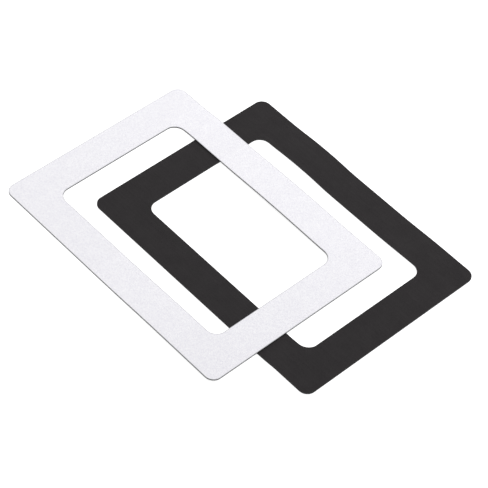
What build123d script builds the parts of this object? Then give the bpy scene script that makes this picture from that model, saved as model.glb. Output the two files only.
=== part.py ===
"""Flexible magnetic photo frame, as a pair: one frame lies face up across the same frame turned over.

Each frame is a flat ring, die-cut in one stroke from a laminate of magnet sheet, adhesive and
face film. The sheets are limp: they lie flat where they rest and where they cross, and their
long bars rise between those places in low waves. Millimetres, Z up. The origin is on the table,
under the middle of the pair.
"""

import os

from build123d import *

# One frame: its outline and the opening that the print shows through
frame_length = 195.0
frame_width = 147.0
border = 24.0
corner_radius = 6.5
opening_radius = 7.5

# The laminate
magnet_thickness = 0.75
adhesive_thickness = 0.05
film_thickness = 0.15

# Clear strips that show through the face-up frame's opening, left of and below the turned frame
strip_x = 18.5
strip_y = 12.5

# How far the limp sheets rise off a flat lie
turned_wave = 1.2
face_up_wave = 0.7
end_lift = 0.9

# Level lead of a sheet each side of a crossing, and how far a blank reaches past its die
crossing_lead = 1.5
overrun = 2.0

# Worked out from the sizes above
opening_length = frame_length - 2 * border
opening_width = frame_width - 2 * border
laminate = magnet_thickness + adhesive_thickness + film_thickness
step_x = border + strip_x
step_y = border + strip_y
half_length = frame_length / 2
bar_inner = opening_length / 2
blank_end = half_length + overrun

# The frames lie parallel, the turned one to the right and behind
silver_centre = (-step_x / 2, -step_y / 2)
turned_centre = (step_x / 2, step_y / 2)

# Where the frames cross, from the middle of each: the face-up frame's far bar over the turned
# one's left bar, and the face-up frame's right bar over the turned one's near bar
far_bar_crossing = (step_x - half_length - crossing_lead, step_x - bar_inner + crossing_lead)
near_bar_crossing_end = half_length - step_x + crossing_lead

# Where the waves of the long bars land and crest, along the opening's length
face_up_far_crest_share = 0.6
face_up_near_landing_share = 0.41
face_up_near_rise_end_share = 0.9
turned_far_crest_share = 0.25
turned_far_landing_shares = (0.47, 0.68)


def along_opening(share):
    """Return the place at a share of the opening's length, from the frame's middle."""
    return opening_length * (share - 0.5)


# A station is a place along a long bar and the height of the sheet's underside, which is level
# there. The face-up frame's left bar lies on the table, and its right bar on the turned frame.
face_up_far = [
    (-blank_end, 0),
    (-bar_inner, 0),
    (far_bar_crossing[0], laminate),
    (far_bar_crossing[1], laminate),
    (along_opening(face_up_far_crest_share), laminate + face_up_wave),
    (bar_inner, laminate),
    (blank_end, laminate),
]
face_up_near = [
    (-blank_end, 0),
    (along_opening(face_up_near_landing_share), 0),
    (along_opening(face_up_near_rise_end_share), laminate),
    (blank_end, laminate),
]

# The turned frame lies on the table apart from one wave and its right bar, which curls up
turned_far = [
    (-blank_end, 0),
    (-bar_inner, 0),
    (along_opening(turned_far_crest_share), turned_wave),
    (along_opening(turned_far_landing_shares[0]), 0),
    (along_opening(turned_far_landing_shares[1]), 0),
    (bar_inner, end_lift),
    (blank_end, end_lift),
]
turned_near = [
    (-blank_end, 0),
    (near_bar_crossing_end, 0),
    (bar_inner, end_lift),
    (blank_end, end_lift),
]


def draw_wave(stations, lift):
    """Join the stations by straight level runs and by curves that leave and arrive level."""
    for (x_start, z_start), (x_end, z_end) in zip(stations, stations[1:]):
        start = (x_start, z_start + lift)
        end = (x_end, z_end + lift)
        if z_start == z_end:
            Line(start, end)
        else:
            middle = (x_start + x_end) / 2
            Bezier(start, (middle, start[1]), (middle, end[1]), end)


def bend_half(centre, stations, low, high, reach):
    """Make one layer's blank under half of the frame, from its middle line to the reach."""
    across = Plane(origin=(centre[0], centre[1], 0), x_dir=(1, 0, 0), z_dir=(0, -1, 0))
    with BuildSketch(across) as side:
        with BuildLine():
            draw_wave(stations, low)
            draw_wave(stations, high)
            for x_end, z_end in (stations[0], stations[-1]):
                Line((x_end, z_end + low), (x_end, z_end + high))
        make_face()
    extrude(side.sketch, amount=reach)


def die_cut_layer(centre, far, near, low, high):
    """Make one layer of a frame, from low to high above its underside, in the part being built."""
    reach = frame_width / 2 + overrun
    bend_half(centre, far, low, high, -reach)
    bend_half(centre, near, low, high, reach)
    tallest = max(z for _, z in far + near)
    die_plane = Plane(origin=(centre[0], centre[1], low - overrun))
    with BuildSketch(die_plane) as die:
        RectangleRounded(frame_length, frame_width, corner_radius)
        RectangleRounded(opening_length, opening_width, opening_radius, mode=Mode.SUBTRACT)
    extrude(die.sketch, amount=tallest + high - low + 2 * overrun, mode=Mode.INTERSECT)


# Face-up frame, from the magnet back upwards
back_z = 0
adhesive_z = magnet_thickness
film_z = magnet_thickness + adhesive_thickness

with BuildPart() as silver_frame_magnet_sheet:
    die_cut_layer(silver_centre, face_up_far, face_up_near, back_z, adhesive_z)
silver_frame_magnet_sheet.part.label = "silver_frame_magnet_sheet"

with BuildPart() as silver_frame_adhesive:
    die_cut_layer(silver_centre, face_up_far, face_up_near, adhesive_z, film_z)
silver_frame_adhesive.part.label = "silver_frame_adhesive"

with BuildPart() as silver_frame_face_film:
    die_cut_layer(silver_centre, face_up_far, face_up_near, film_z, laminate)
silver_frame_face_film.part.label = "silver_frame_face_film"

# Turned frame, from the silver face on the table up to the black magnet back
turned_adhesive_z = film_thickness
turned_magnet_z = film_thickness + adhesive_thickness

with BuildPart() as turned_frame_face_film:
    die_cut_layer(turned_centre, turned_far, turned_near, back_z, turned_adhesive_z)
turned_frame_face_film.part.label = "turned_frame_face_film"

with BuildPart() as turned_frame_adhesive:
    die_cut_layer(turned_centre, turned_far, turned_near, turned_adhesive_z, turned_magnet_z)
turned_frame_adhesive.part.label = "turned_frame_adhesive"

with BuildPart() as turned_frame_magnet_sheet:
    die_cut_layer(turned_centre, turned_far, turned_near, turned_magnet_z, laminate)
turned_frame_magnet_sheet.part.label = "turned_frame_magnet_sheet"

os.makedirs("parts", exist_ok=True)
export_step(silver_frame_magnet_sheet.part, "parts/silver_frame_magnet_sheet.step")
export_step(silver_frame_adhesive.part, "parts/silver_frame_adhesive.step")
export_step(silver_frame_face_film.part, "parts/silver_frame_face_film.step")
export_step(turned_frame_face_film.part, "parts/turned_frame_face_film.step")
export_step(turned_frame_adhesive.part, "parts/turned_frame_adhesive.step")
export_step(turned_frame_magnet_sheet.part, "parts/turned_frame_magnet_sheet.step")
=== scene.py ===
"""Looks of the magnetic photo frame: two die-cut frames of limp magnet sheet, one face up across
the other, which is turned over. Each frame is three layers that meet face to face. Metres, Z up.
"""

import math
from collections import namedtuple

import bmesh
import bpy
from mathutils import Matrix, Vector


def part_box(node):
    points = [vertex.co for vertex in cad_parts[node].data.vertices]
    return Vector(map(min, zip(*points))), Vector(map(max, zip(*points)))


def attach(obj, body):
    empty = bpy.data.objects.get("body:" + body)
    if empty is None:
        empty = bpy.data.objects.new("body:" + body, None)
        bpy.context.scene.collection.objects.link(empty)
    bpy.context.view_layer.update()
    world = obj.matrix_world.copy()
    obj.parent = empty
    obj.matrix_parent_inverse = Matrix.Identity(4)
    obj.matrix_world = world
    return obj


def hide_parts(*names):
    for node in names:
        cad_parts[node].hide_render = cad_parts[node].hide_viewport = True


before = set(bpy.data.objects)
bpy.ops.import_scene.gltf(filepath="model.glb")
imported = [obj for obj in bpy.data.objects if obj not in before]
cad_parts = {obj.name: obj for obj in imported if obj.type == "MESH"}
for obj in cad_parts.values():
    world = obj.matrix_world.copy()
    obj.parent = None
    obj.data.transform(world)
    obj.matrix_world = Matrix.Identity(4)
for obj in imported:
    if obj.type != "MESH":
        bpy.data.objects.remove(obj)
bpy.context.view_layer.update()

MM = 0.001

# Sizes read from the frame
magnet_low, magnet_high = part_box("silver_frame_magnet_sheet")
adhesive_low, adhesive_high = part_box("silver_frame_adhesive")
film_low, film_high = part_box("silver_frame_face_film")
turned_low, turned_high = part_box("turned_frame_face_film")
FRAME_LENGTH = magnet_high.x - magnet_low.x
FRAME_WIDTH = magnet_high.y - magnet_low.y
MAGNET = adhesive_low.z - magnet_low.z
ADHESIVE = film_low.z - adhesive_low.z
FILM = film_high.z - adhesive_high.z
LAMINATE = MAGNET + ADHESIVE + FILM
SILVER_CENTRE = (magnet_low + magnet_high) / 2
TURNED_CENTRE = (turned_low + turned_high) / 2
STEP_X = TURNED_CENTRE.x - SILVER_CENTRE.x

# The die's outline
BORDER = 24 * MM
CORNER_RADIUS = 6.5 * MM
OPENING_RADIUS = 7.5 * MM
OPENING_LENGTH = FRAME_LENGTH - 2 * BORDER
OPENING_WIDTH = FRAME_WIDTH - 2 * BORDER
HALF_LENGTH = FRAME_LENGTH / 2
HALF_WIDTH = FRAME_WIDTH / 2
BAR_INNER = OPENING_LENGTH / 2

# How far the limp sheets rise off a flat lie, and their level lead each side of a crossing
TURNED_WAVE = 1.2 * MM
FACE_UP_WAVE = 0.7 * MM
END_LIFT = 0.9 * MM
CROSSING_LEAD = 1.5 * MM

# Where the waves of the long bars land and crest, along the opening's length
FACE_UP_FAR_CREST_SHARE = 0.6
FACE_UP_NEAR_LANDING_SHARE = 0.41
FACE_UP_NEAR_RISE_END_SHARE = 0.9
TURNED_FAR_CREST_SHARE = 0.25
TURNED_FAR_LANDING_SHARES = (0.47, 0.68)


def along_opening(share):
    """Return the place at a share of the opening's length, from the frame's middle."""
    return OPENING_LENGTH * (share - 0.5)


# A station is a place along a long bar and the height of the sheet's underside, level there
FACE_UP_FAR = (
    (-BAR_INNER, 0),
    (STEP_X - HALF_LENGTH - CROSSING_LEAD, LAMINATE),
    (STEP_X - BAR_INNER + CROSSING_LEAD, LAMINATE),
    (along_opening(FACE_UP_FAR_CREST_SHARE), LAMINATE + FACE_UP_WAVE),
    (BAR_INNER, LAMINATE),
)
FACE_UP_NEAR = (
    (along_opening(FACE_UP_NEAR_LANDING_SHARE), 0),
    (along_opening(FACE_UP_NEAR_RISE_END_SHARE), LAMINATE),
)
TURNED_FAR = (
    (-BAR_INNER, 0),
    (along_opening(TURNED_FAR_CREST_SHARE), TURNED_WAVE),
    (along_opening(TURNED_FAR_LANDING_SHARES[0]), 0),
    (along_opening(TURNED_FAR_LANDING_SHARES[1]), 0),
    (BAR_INNER, END_LIFT),
)
TURNED_NEAR = (
    (HALF_LENGTH - STEP_X + CROSSING_LEAD, 0),
    (BAR_INNER, END_LIFT),
)

# How each frame lies: its body, which its nodes are named after, its middle, and the waves of
# its long bars
Lie = namedtuple("Lie", "body centre far near")
FACE_UP = Lie("silver_frame", SILVER_CENTRE, FACE_UP_FAR, FACE_UP_NEAR)
TURNED = Lie("turned_frame", TURNED_CENTRE, TURNED_FAR, TURNED_NEAR)

# How finely the outline, the waves and the rims are drawn
CORNER_SEGMENTS = 14
WAVE_PITCH = 3 * MM
CURVE_STEPS = 6
RIM_SEGMENTS = 3
SHARP_ANGLE = math.radians(40)
WELD = 0.0001 * MM

# A narrow strip of faces along each cut, and how far in the die rounds the rims
CUT_STRIP = 0.35 * MM
FILM_ROLL = 0.08 * MM
RUBBER_ROLL = 0.04 * MM

# The two sides of a sheet
UPPER_SIDE = 1
LOWER_SIDE = -1

# The upright part of a face's normal: at most this on a cut, and at least this on a side
MOST_ON_CUT = 0.1
LEAST_ON_SIDE = 0.5


def wave_rise(part):
    """Return how far a wave has risen, from 0 to 1, at a part of its length.

    The wave is a cubic curve that leaves and arrives level, both its handles half way along, so
    the place on the curve is searched for first.
    """
    bend = part
    for _ in range(CURVE_STEPS):
        reached = 1.5 * bend - 1.5 * bend ** 2 + bend ** 3
        slope = 1.5 - 3 * bend + 3 * bend ** 2
        bend += (part - reached) / slope
    return 3 * bend ** 2 - 2 * bend ** 3


def sheet_height(stations, x):
    """Return the height of a sheet's underside, which stays level beyond its end stations."""
    if x <= stations[0][0]:
        return stations[0][1]
    for (start_x, start_z), (end_x, end_z) in zip(stations, stations[1:]):
        if x < end_x:
            part = (x - start_x) / (end_x - start_x)
            return start_z + (end_z - start_z) * wave_rise(part)
    return stations[-1][1]


def add_outline(mesh, length, width, radius):
    """Add one rounded rectangle of edges round the origin."""
    corners = bmesh.ops.create_grid(mesh, x_segments=1, y_segments=1, size=0.5)["verts"]
    bmesh.ops.scale(mesh, vec=(length, width, 1), verts=corners)
    bmesh.ops.bevel(
        mesh,
        geom=corners,
        offset=radius,
        offset_type="OFFSET",
        segments=CORNER_SEGMENTS,
        profile=0.5,
        affect="VERTICES",
        material=-1,
    )
    bmesh.ops.delete(mesh, geom=mesh.faces[:], context="FACES_ONLY")


def cut_ring(mesh):
    """Make the flat ring between the outline and the opening, with a narrow strip at each cut."""
    add_outline(mesh, FRAME_LENGTH, FRAME_WIDTH, CORNER_RADIUS)
    add_outline(mesh, OPENING_LENGTH, OPENING_WIDTH, OPENING_RADIUS)
    bmesh.ops.bridge_loops(mesh, edges=mesh.edges[:])
    bmesh.ops.inset_region(
        mesh,
        faces=mesh.faces[:],
        thickness=CUT_STRIP,
        use_boundary=True,
        use_even_offset=True,
    )


def divide_for_waves(mesh):
    """Cut the ring across every few millimetres, and along its middle, where its halves meet."""
    count = math.ceil(FRAME_LENGTH / WAVE_PITCH)
    cuts = [(Vector((0, 0, 0)), Vector((0, 1, 0)))]
    for number in range(1, count):
        x = -HALF_LENGTH + FRAME_LENGTH * number / count
        cuts.append((Vector((x, 0, 0)), Vector((1, 0, 0))))
    for place, across in cuts:
        everything = mesh.verts[:] + mesh.edges[:] + mesh.faces[:]
        bmesh.ops.bisect_plane(
            mesh, geom=everything, dist=WELD, plane_co=place, plane_no=across
        )


def lay_in_waves(mesh, lie, low):
    """Lift every point to the sheet's height there, plus the layer's place in the laminate."""
    for point in mesh.verts:
        stations = lie.far if point.co.y >= 0 else lie.near
        point.co.z = sheet_height(stations, point.co.x) + low


def thicken(mesh, thickness):
    """Give the sheet its thickness, upwards."""
    made = bmesh.ops.extrude_face_region(mesh, geom=mesh.faces[:], use_keep_orig=True)
    moved = [item for item in made["geom"] if isinstance(item, bmesh.types.BMVert)]
    bmesh.ops.translate(mesh, vec=(0, 0, thickness), verts=moved)
    bmesh.ops.recalc_face_normals(mesh, faces=mesh.faces[:])
    mesh.normal_update()


def is_cut(face):
    """Tell a face of the cut from one of the sheet's two sides."""
    return abs(face.normal.z) < MOST_ON_CUT


def roll_rim(mesh, side, offset):
    """Round the rim between the cut and one side of the sheet, as the die does."""
    rim = []
    for edge in mesh.edges:
        cut = [face for face in edge.link_faces if is_cut(face)]
        flat = [face for face in edge.link_faces if face.normal.z * side > LEAST_ON_SIDE]
        if cut and flat:
            rim.append(edge)
    bmesh.ops.bevel(
        mesh,
        geom=rim,
        offset=offset,
        offset_type="OFFSET",
        segments=RIM_SEGMENTS,
        profile=0.5,
        affect="EDGES",
        material=-1,
        clamp_overlap=True,
    )
    mesh.normal_update()


def shape_layer(lie, low, thickness):
    """Shape one layer round the origin, from low in the laminate to its thickness above that."""
    mesh = bmesh.new()
    cut_ring(mesh)
    divide_for_waves(mesh)
    lay_in_waves(mesh, lie, low)
    thicken(mesh, thickness)
    return mesh


def make_object(name, mesh, finishes):
    """Make an object of the scene from a shaped mesh and its finishes."""
    data = bpy.data.meshes.new(name)
    mesh.to_mesh(data)
    mesh.free()
    for finish in finishes:
        data.materials.append(finish)
    made = bpy.data.objects.new(name, data)
    bpy.context.scene.collection.objects.link(made)
    return made


def place_layer(mesh, lie, part, finishes):
    """Move a shaped layer to its frame, where it stands for the solid of that part of the frame.

    The first finish is for the sheet's two sides and the last one for the cut.
    """
    for face in mesh.faces:
        face.smooth = True
        face.material_index = len(finishes) - 1 if is_cut(face) else 0
    bmesh.ops.translate(mesh, vec=(lie.centre.x, lie.centre.y, 0), verts=mesh.verts[:])
    node = f"{lie.body}_{part}"
    layer = make_object(f"{node}_layer", mesh, finishes)
    layer.data.set_sharp_from_angle(angle=SHARP_ANGLE)
    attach(layer, lie.body)
    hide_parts(node)


def feed(tree, node, inputs):
    """Set or link a node's inputs, given by name or by number."""
    for key, value in inputs.items():
        if isinstance(value, bpy.types.NodeSocket):
            tree.links.new(value, node.inputs[key])
        else:
            node.inputs[key].default_value = value


def add_node(tree, kind, inputs, **settings):
    """Add a node with its settings, then set or link its inputs."""
    node = tree.nodes.new(kind)
    for key, value in settings.items():
        setattr(node, key, value)
    feed(tree, node, inputs)
    return node


def calculate(tree, operation, *values):
    """Add a Math node and return what it puts out."""
    node = add_node(tree, "ShaderNodeMath", dict(enumerate(values)), operation=operation)
    return node.outputs[0]


def calculate_vector(tree, operation, *values):
    """Add a Vector Math node and return the vector that it puts out."""
    inputs = dict(enumerate(values))
    return add_node(tree, "ShaderNodeVectorMath", inputs, operation=operation).outputs[0]


def remap(tree, value, source, target, **settings):
    """Return a value moved from the source's range to the target's and held within it."""
    inputs = dict(enumerate((value, *source, *target)))
    return add_node(tree, "ShaderNodeMapRange", inputs, **settings).outputs[0]


# The Mix node's sockets for colours go by number, because its other kinds share their names
MIX_SHARE = 0
MIX_FIRST = 6
MIX_SECOND = 7
MIX_RESULT = 2


def mix_colour(tree, share, first, second):
    """Return a colour between the first and the second."""
    inputs = {MIX_SHARE: share, MIX_FIRST: first, MIX_SECOND: second}
    return add_node(tree, "ShaderNodeMix", inputs, data_type="RGBA").outputs[MIX_RESULT]


def new_group(name, inputs, outputs):
    """Start a node group with named sockets; return it, what it is given and what it returns."""
    group = bpy.data.node_groups.new(name, "ShaderNodeTree")
    for socket, kind in inputs:
        group.interface.new_socket(socket, in_out="INPUT", socket_type="NodeSocket" + kind)
    for socket, kind in outputs:
        group.interface.new_socket(socket, in_out="OUTPUT", socket_type="NodeSocket" + kind)
    given = group.nodes.new("NodeGroupInput").outputs
    result = group.nodes.new("NodeGroupOutput").inputs
    return group, given, result


def use_group(tree, group, **inputs):
    """Place a group with its own values and return its first output."""
    return add_node(tree, "ShaderNodeGroup", inputs, node_tree=group).outputs[0]


# What a pattern of cells is given and what it returns
PATTERN_INPUTS = (("Place", "Vector"), ("Cell", "Float"), ("Low", "Float"), ("High", "Float"))
PATTERN_OUTPUTS = (("Value", "Float"),)

# The grain's noise: its finer detail, and the range that its values mostly keep to
GRAIN_DETAIL = 2.0
GRAIN_ROUGHNESS = 0.55
GRAIN_RANGE = (0.3, 0.7)


def build_grain():
    """Cloudy grain of one cell size, between a low and a high value."""
    group, given, result = new_group("grain", PATTERN_INPUTS, PATTERN_OUTPUTS)
    noise = add_node(
        group,
        "ShaderNodeTexNoise",
        {
            "Vector": given["Place"],
            "Scale": calculate(group, "DIVIDE", 1.0, given["Cell"]),
            "Detail": GRAIN_DETAIL,
            "Roughness": GRAIN_ROUGHNESS,
        },
    )
    value = remap(group, noise.outputs[0], GRAIN_RANGE, (given["Low"], given["High"]))
    group.links.new(value, result["Value"])
    return group


def build_flakes():
    """Flat flakes side by side, each with one value of its own between a low and a high value."""
    group, given, result = new_group("flakes", PATTERN_INPUTS, PATTERN_OUTPUTS)
    scale = calculate(group, "DIVIDE", 1.0, given["Cell"])
    cells = add_node(group, "ShaderNodeTexVoronoi", {"Vector": given["Place"], "Scale": scale})
    own = add_node(group, "ShaderNodeSeparateColor", {0: cells.outputs["Color"]})
    value = remap(group, own.outputs[0], (0.0, 1.0), (given["Low"], given["High"]))
    group.links.new(value, result["Value"])
    return group


def build_outline_distance():
    """Distance from a rounded rectangle round the origin, less than zero inside it."""
    group, given, result = new_group(
        "outline_distance",
        (("Place", "Vector"), ("Core", "Vector"), ("Radius", "Float")),
        (("Distance", "Float"),),
    )
    flat = calculate_vector(group, "MULTIPLY", given["Place"], (1, 1, 0))
    folded = calculate_vector(group, "ABSOLUTE", flat)
    beyond = calculate_vector(group, "SUBTRACT", folded, given["Core"])
    outside = calculate_vector(group, "MAXIMUM", beyond, (0, 0, 0))
    reach = add_node(group, "ShaderNodeVectorMath", {0: outside}, operation="LENGTH")
    parts = add_node(group, "ShaderNodeSeparateXYZ", {0: beyond})
    nearest = calculate(group, "MAXIMUM", parts.outputs[0], parts.outputs[1])
    inside = calculate(group, "MINIMUM", nearest, 0.0)
    whole = calculate(group, "ADD", reach.outputs["Value"], inside)
    distance = calculate(group, "SUBTRACT", whole, given["Radius"])
    group.links.new(distance, result["Distance"])
    return group


# How much of the cut rim's reach has its full strength
FULL_RIM_SHARE = 0.4


def build_cut_rim(outline_distance):
    """Mask that is 1 at either cut of the ring and fades to 0 at the reach."""
    group, given, result = new_group(
        "cut_rim",
        (("Place", "Vector"), ("Reach", "Float")),
        (("Mask", "Float"),),
    )
    outline = use_group(
        group,
        outline_distance,
        Place=given["Place"],
        Core=(HALF_LENGTH - CORNER_RADIUS, HALF_WIDTH - CORNER_RADIUS, 0),
        Radius=CORNER_RADIUS,
    )
    opening = use_group(
        group,
        outline_distance,
        Place=given["Place"],
        Core=(BAR_INNER - OPENING_RADIUS, OPENING_WIDTH / 2 - OPENING_RADIUS, 0),
        Radius=OPENING_RADIUS,
    )
    from_outline = calculate(group, "MULTIPLY", outline, -1.0)
    nearest = calculate(group, "MINIMUM", from_outline, opening)
    full = calculate(group, "MULTIPLY", given["Reach"], FULL_RIM_SHARE)
    mask = remap(
        group, nearest, (full, given["Reach"]), (1.0, 0.0), interpolation_type="SMOOTHSTEP"
    )
    group.links.new(mask, result["Mask"])
    return group


grain = build_grain()
flakes = build_flakes()
cut_rim = build_cut_rim(build_outline_distance())


def new_finish(name, centre):
    """Start a material; return it, its tree, its shader and places measured from the centre."""
    finish = bpy.data.materials.new(name)
    finish.use_nodes = True
    tree = finish.node_tree
    shader = tree.nodes["Principled BSDF"]
    coordinates = tree.nodes.new("ShaderNodeTexCoord").outputs["Object"]
    shift = (-centre.x, -centre.y, 0)
    place = add_node(tree, "ShaderNodeMapping", {"Vector": coordinates, "Location": shift})
    return finish, tree, shader, place.outputs[0]


def spread(tree, pattern, place, cell, low=0.0, high=1.0):
    """Spread a pattern of one cell size over a surface, between a low and a high value."""
    return use_group(tree, pattern, Place=place, Cell=cell, Low=low, High=high)


def stretch(tree, place, scale):
    """Return the place scaled, so that a pattern on it runs long where the scale is small."""
    return calculate_vector(tree, "MULTIPLY", place, scale)


def rim_shade_and_scuff(tree, place, reach, share, coat, rim_tint):
    """Return the coat's colour, turned by a share to the rim's tint at the cuts: painted shade
    with the pressed edge on the film, scuffing on the rubber.
    """
    rim = use_group(tree, cut_rim, Place=place, Reach=reach)
    return mix_colour(tree, calculate(tree, "MULTIPLY", rim, share), coat, rim_tint)


def dress(tree, shader, colour, gloss, height, depth):
    """Give a surface its colour, its roughness and real relief, of a depth in metres."""
    relief = {"Strength": 1.0, "Distance": depth, "Height": height}
    bump = add_node(tree, "ShaderNodeBump", relief).outputs[0]
    feed(tree, shader, {"Base Color": colour, "Roughness": gloss, "Normal": bump})


# Pearl silver face film. Each tone is how far a pattern takes the colour from shade to light.
PEARL_SHADE = (0.777, 0.763, 0.834, 1)
PEARL_LIGHT = (0.99, 0.985, 1.0, 1)
FLAKE = 0.3 * MM
FLAKE_TONE = 0.86
FLAKE_ROUGHNESS = (0.52, 0.42)
FLAKE_METAL = (0.1, 0.4)
MOTTLE = 1.6 * MM
MOTTLE_TONE = 0.13
FILM_CLOUD = 9 * MM
FILM_CLOUD_TONE = 0.09
# The darker rim at each cut is partly the film's pressed edge and partly painted shade, standing
# in for the thin shadow line along every edge
FILM_RIM_PRESS_AND_SHADE = (0.42, 0.42, 0.44, 1)
FILM_RIM_PRESS_AND_SHADE_REACH = 0.5 * MM
FILM_RIM_PRESS_AND_SHADE_SHARE = 0.85
ORANGE_PEEL = 0.9 * MM
ORANGE_PEEL_DEPTH = 0.004 * MM


def pearl_film(name, centre):
    """Pearl silver face film: fine flakes, a faint mottle, and a darker rim at each cut, partly
    its pressed edge and partly painted shade.
    """
    finish, tree, shader, place = new_finish(name, centre)
    flake = spread(tree, flakes, place, FLAKE, high=FLAKE_TONE)
    mottle = spread(tree, grain, place, MOTTLE, high=MOTTLE_TONE)
    cloud = spread(tree, grain, place, FILM_CLOUD, high=FILM_CLOUD_TONE)
    tone = calculate(tree, "ADD", flake, calculate(tree, "ADD", mottle, cloud))
    coat = mix_colour(tree, tone, PEARL_SHADE, PEARL_LIGHT)
    # Painted shade: the film is darkened along each cut, together with its pressed edge
    colour = rim_shade_and_scuff(tree, place, FILM_RIM_PRESS_AND_SHADE_REACH, FILM_RIM_PRESS_AND_SHADE_SHARE, coat, FILM_RIM_PRESS_AND_SHADE)
    gloss = spread(tree, flakes, place, FLAKE, *FLAKE_ROUGHNESS)
    metal = spread(tree, flakes, place, FLAKE, *FLAKE_METAL)
    feed(tree, shader, {"Metallic": metal})
    orange_peel = spread(tree, grain, place, ORANGE_PEEL)
    dress(tree, shader, colour, gloss, orange_peel, ORANGE_PEEL_DEPTH)
    return finish


# Matt black magnet rubber. Powder, streaks and cloud share its tone, and the streaks run along X.
RUBBER_SHADE = (0.0125, 0.0108, 0.0117, 1)
RUBBER_LIGHT = (0.0284, 0.0258, 0.0269, 1)
POWDER = 0.4 * MM
POWDER_SHARE = 0.6
STREAK = 1.1 * MM
STREAK_SHARE = 0.2
STREAK_STRETCH = (0.04, 1, 1)
RUBBER_CLOUD = 10 * MM
RUBBER_CLOUD_SHARE = 0.2
SCUFFED_RUBBER = (0.045, 0.043, 0.043, 1)
SCUFF_REACH = 0.4 * MM
SCUFF_SHARE = 0.45
RUBBER_PORE = 0.16 * MM
RUBBER_ROUGHNESS = (0.72, 0.84)
RUBBER_SPECULAR = 0.25
RUBBER_DEPTH = 0.006 * MM


def magnet_rubber(name, centre):
    """Matt black magnet rubber: a very fine grain, faint roller streaks and a scuffed rim."""
    finish, tree, shader, place = new_finish(name, centre)
    powder = spread(tree, grain, place, POWDER)
    along = stretch(tree, place, STREAK_STRETCH)
    streaks = calculate(tree, "MULTIPLY", spread(tree, grain, along, STREAK), STREAK_SHARE)
    cloud = spread(tree, grain, place, RUBBER_CLOUD)
    fine = calculate(tree, "MULTIPLY_ADD", powder, POWDER_SHARE, streaks)
    tone = calculate(tree, "MULTIPLY_ADD", cloud, RUBBER_CLOUD_SHARE, fine)
    rubber = mix_colour(tree, tone, RUBBER_SHADE, RUBBER_LIGHT)
    colour = rim_shade_and_scuff(tree, place, SCUFF_REACH, SCUFF_SHARE, rubber, SCUFFED_RUBBER)
    gloss = spread(tree, grain, place, RUBBER_PORE, *RUBBER_ROUGHNESS)
    feed(tree, shader, {"Specular IOR Level": RUBBER_SPECULAR})
    dress(tree, shader, colour, gloss, fine, RUBBER_DEPTH)
    return finish


# Finishes that are the same on both frames take their places from the middle of the pair
PAIR_CENTRE = Vector((0, 0, 0))

# The cut edge of the film, bare grey plastic, with marks that run up and down
FILM_CUT_SHADE = (0.50, 0.50, 0.52, 1)
FILM_CUT_LIGHT = (0.66, 0.66, 0.69, 1)
FILM_MARK = 0.12 * MM
FILM_MARK_STRETCH = (1, 1, 0.15)
FILM_CUT_ROUGHNESS = (0.45, 0.6)
FILM_MARK_DEPTH = 0.01 * MM


def film_edge():
    """The film seen edge on: bare grey plastic, drawn down by the die."""
    finish, tree, shader, place = new_finish("film_cut_edge", PAIR_CENTRE)
    drawn = stretch(tree, place, FILM_MARK_STRETCH)
    marks = spread(tree, grain, drawn, FILM_MARK)
    colour = mix_colour(tree, marks, FILM_CUT_SHADE, FILM_CUT_LIGHT)
    gloss = spread(tree, grain, drawn, FILM_MARK, *FILM_CUT_ROUGHNESS)
    dress(tree, shader, colour, gloss, marks, FILM_MARK_DEPTH)
    return finish


# The cut edge of the magnet rubber, torn and powdery
RUBBER_CUT_SHADE = (0.018, 0.017, 0.017, 1)
RUBBER_CUT_LIGHT = (0.034, 0.032, 0.032, 1)
RUBBER_MARK = 0.18 * MM
RUBBER_MARK_STRETCH = (1, 1, 0.12)
RUBBER_CUT_ROUGHNESS = (0.75, 0.92)
RUBBER_CUT_SPECULAR = 0.2
RUBBER_MARK_DEPTH = 0.02 * MM


def rubber_edge():
    """The magnet sheet's cut: torn powdery rubber with the die's upright marks."""
    finish, tree, shader, place = new_finish("magnet_cut_edge", PAIR_CENTRE)
    drawn = stretch(tree, place, RUBBER_MARK_STRETCH)
    marks = spread(tree, grain, drawn, RUBBER_MARK)
    colour = mix_colour(tree, marks, RUBBER_CUT_SHADE, RUBBER_CUT_LIGHT)
    gloss = spread(tree, grain, drawn, RUBBER_MARK, *RUBBER_CUT_ROUGHNESS)
    feed(tree, shader, {"Specular IOR Level": RUBBER_CUT_SPECULAR})
    dress(tree, shader, colour, gloss, marks, RUBBER_MARK_DEPTH)
    return finish


# The adhesive, milky and slightly clumped
MILK_SHADE = (0.42, 0.42, 0.41, 1)
MILK_LIGHT = (0.56, 0.56, 0.54, 1)
CLUMP = 0.3 * MM
ADHESIVE_ROUGHNESS = (0.35, 0.55)
CLUMP_DEPTH = 0.01 * MM


def adhesive_coat():
    """The thin coat of adhesive between magnet and film, milky where the cut shows it."""
    finish, tree, shader, place = new_finish("milky_adhesive", PAIR_CENTRE)
    clumps = spread(tree, grain, place, CLUMP)
    colour = mix_colour(tree, clumps, MILK_SHADE, MILK_LIGHT)
    gloss = spread(tree, grain, place, CLUMP, *ADHESIVE_ROUGHNESS)
    dress(tree, shader, colour, gloss, clumps, CLUMP_DEPTH)
    return finish


cut_rubber = rubber_edge()
cut_film = film_edge()
milky = adhesive_coat()


def make_magnet_sheet(lie, low, back):
    """Build a frame's magnet sheet, whose rim is rolled at its back."""
    layer = shape_layer(lie, low, MAGNET)
    roll_rim(layer, back, RUBBER_ROLL)
    rubber = magnet_rubber(f"{lie.body}_rubber", lie.centre)
    place_layer(layer, lie, "magnet_sheet", (rubber, cut_rubber))


def make_adhesive(lie, low):
    """Build the adhesive between a frame's magnet sheet and its film."""
    layer = shape_layer(lie, low, ADHESIVE)
    place_layer(layer, lie, "adhesive", (milky,))


def make_face_film(lie, low, face):
    """Build a frame's face film, whose rim is rolled at its face."""
    layer = shape_layer(lie, low, FILM)
    roll_rim(layer, face, FILM_ROLL)
    film = pearl_film(f"{lie.body}_pearl_film", lie.centre)
    place_layer(layer, lie, "face_film", (film, cut_film))


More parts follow.
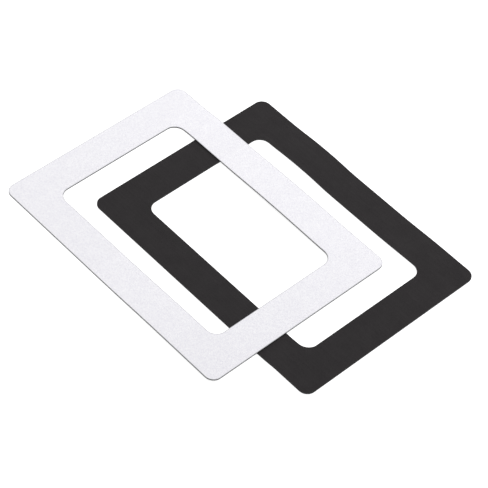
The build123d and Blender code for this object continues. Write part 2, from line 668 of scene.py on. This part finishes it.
def make_frames():
    """Build both frames from the table upwards, one face up and the other turned over."""
    make_magnet_sheet(FACE_UP, 0, LOWER_SIDE)
    make_adhesive(FACE_UP, MAGNET)
    make_face_film(FACE_UP, MAGNET + ADHESIVE, UPPER_SIDE)
    make_face_film(TURNED, 0, LOWER_SIDE)
    make_adhesive(TURNED, FILM)
    make_magnet_sheet(TURNED, FILM + ADHESIVE, UPPER_SIDE)


# The camera, set to the photograph's view of the table
CAMERA_AZIMUTH = 41.34
CAMERA_ELEVATION = 49.57
CAMERA_ROLL = 7.78
CAMERA_AIM = Vector((8.0 * MM, -3.05 * MM, 0))
CAMERA_DISTANCE = 1338 * MM
CAMERA_LENS = 158.3
SENSOR = 36
NEAREST_SEEN = 0.01
FARTHEST_SEEN = 100


def place_camera():
    """Stand the camera at its azimuth, where 0 looks along +Y, and at its elevation."""
    azimuth = math.radians(CAMERA_AZIMUTH)
    elevation = math.radians(CAMERA_ELEVATION)
    back = Vector((
        math.sin(azimuth) * math.cos(elevation),
        -math.cos(azimuth) * math.cos(elevation),
        math.sin(elevation),
    ))
    right = Vector((math.cos(azimuth), math.sin(azimuth), 0))
    level = Matrix((right, back.cross(right), back)).transposed()
    turned = level @ Matrix.Rotation(math.radians(CAMERA_ROLL), 3, "Z")
    data = bpy.data.cameras.new("camera")
    data.sensor_width = SENSOR
    data.lens = CAMERA_LENS
    data.clip_start = NEAREST_SEEN
    data.clip_end = FARTHEST_SEEN
    camera = bpy.data.objects.new("camera", data)
    bpy.context.scene.collection.objects.link(camera)
    place = Matrix.Translation(CAMERA_AIM + back * CAMERA_DISTANCE)
    camera.matrix_world = place @ turned.to_4x4()
    bpy.context.scene.camera = camera


# The floor and the sky. The floor's glow and the sky's full white show, but cast no soft light.
WHITE = (1, 1, 1, 1)
FLOOR_COLOUR = (0.8, 0.8, 0.8, 1)
FLOOR_GLOW = 0.7
FLOOR_HALF = 4.0
SKY_LIGHT = 0.625


def seen_ray(tree):
    """Return 1 for rays that show a backdrop: straight, mirrored or through glass."""
    path = tree.nodes.new("ShaderNodeLightPath").outputs
    mirrored = calculate(tree, "MAXIMUM", path["Is Camera Ray"], path["Is Glossy Ray"])
    return calculate(tree, "MAXIMUM", mirrored, path["Is Transmission Ray"])


def white_floor():
    """Matt white that keeps the soft shadow of what lies on it."""
    finish = bpy.data.materials.new("white_floor")
    finish.use_nodes = True
    tree = finish.node_tree
    glow = calculate(tree, "MULTIPLY", seen_ray(tree), FLOOR_GLOW)
    looks = {
        "Base Color": FLOOR_COLOUR,
        "Roughness": 1.0,
        "Specular IOR Level": 0.0,
        "Emission Color": WHITE,
        "Emission Strength": glow,
    }
    feed(tree, tree.nodes["Principled BSDF"], looks)
    return finish


def lay_floor():
    """Lay a plain white floor under the frames."""
    mesh = bmesh.new()
    bmesh.ops.create_grid(mesh, x_segments=1, y_segments=1, size=FLOOR_HALF)
    floor = make_object("floor", mesh, (white_floor(),))


def light_sky():
    """Even white light from all round, and a white backdrop where it is seen."""
    world = bpy.data.worlds.new("studio")
    bpy.context.scene.world = world
    world.use_nodes = True
    tree = world.node_tree
    strength = calculate(tree, "MULTIPLY_ADD", seen_ray(tree), 1.0 - SKY_LIGHT, SKY_LIGHT)
    feed(tree, tree.nodes["Background"], {"Color": WHITE, "Strength": strength})


# The lamps: name, place, size, and power in watts
SOFTBOXES = (
    ("back_softbox", (0.20, 0.70, 0.50), 0.5, 4.0),
    ("left_softbox", (-0.45, 0.10, 0.45), 0.4, 0.64),
)


def hang_softbox(name, place, size, power):
    """Hang a square soft lamp that points at the middle of the pair and isn't mirrored in it."""
    data = bpy.data.lights.new(name, "AREA")
    data.shape = "SQUARE"
    data.size = size
    data.energy = power
    lamp = bpy.data.objects.new(name, data)
    bpy.context.scene.collection.objects.link(lamp)
    lamp.location = place
    lamp.rotation_mode = "QUATERNION"
    lamp.rotation_quaternion = Vector(place).to_track_quat("Z", "Y")
    lamp.visible_glossy = False


place_camera()
make_frames()
lay_floor()
light_sky()
for name, place, size, power in SOFTBOXES:
    hang_softbox(name, place, size, power)

bpy.context.scene.view_settings.view_transform = "Standard"
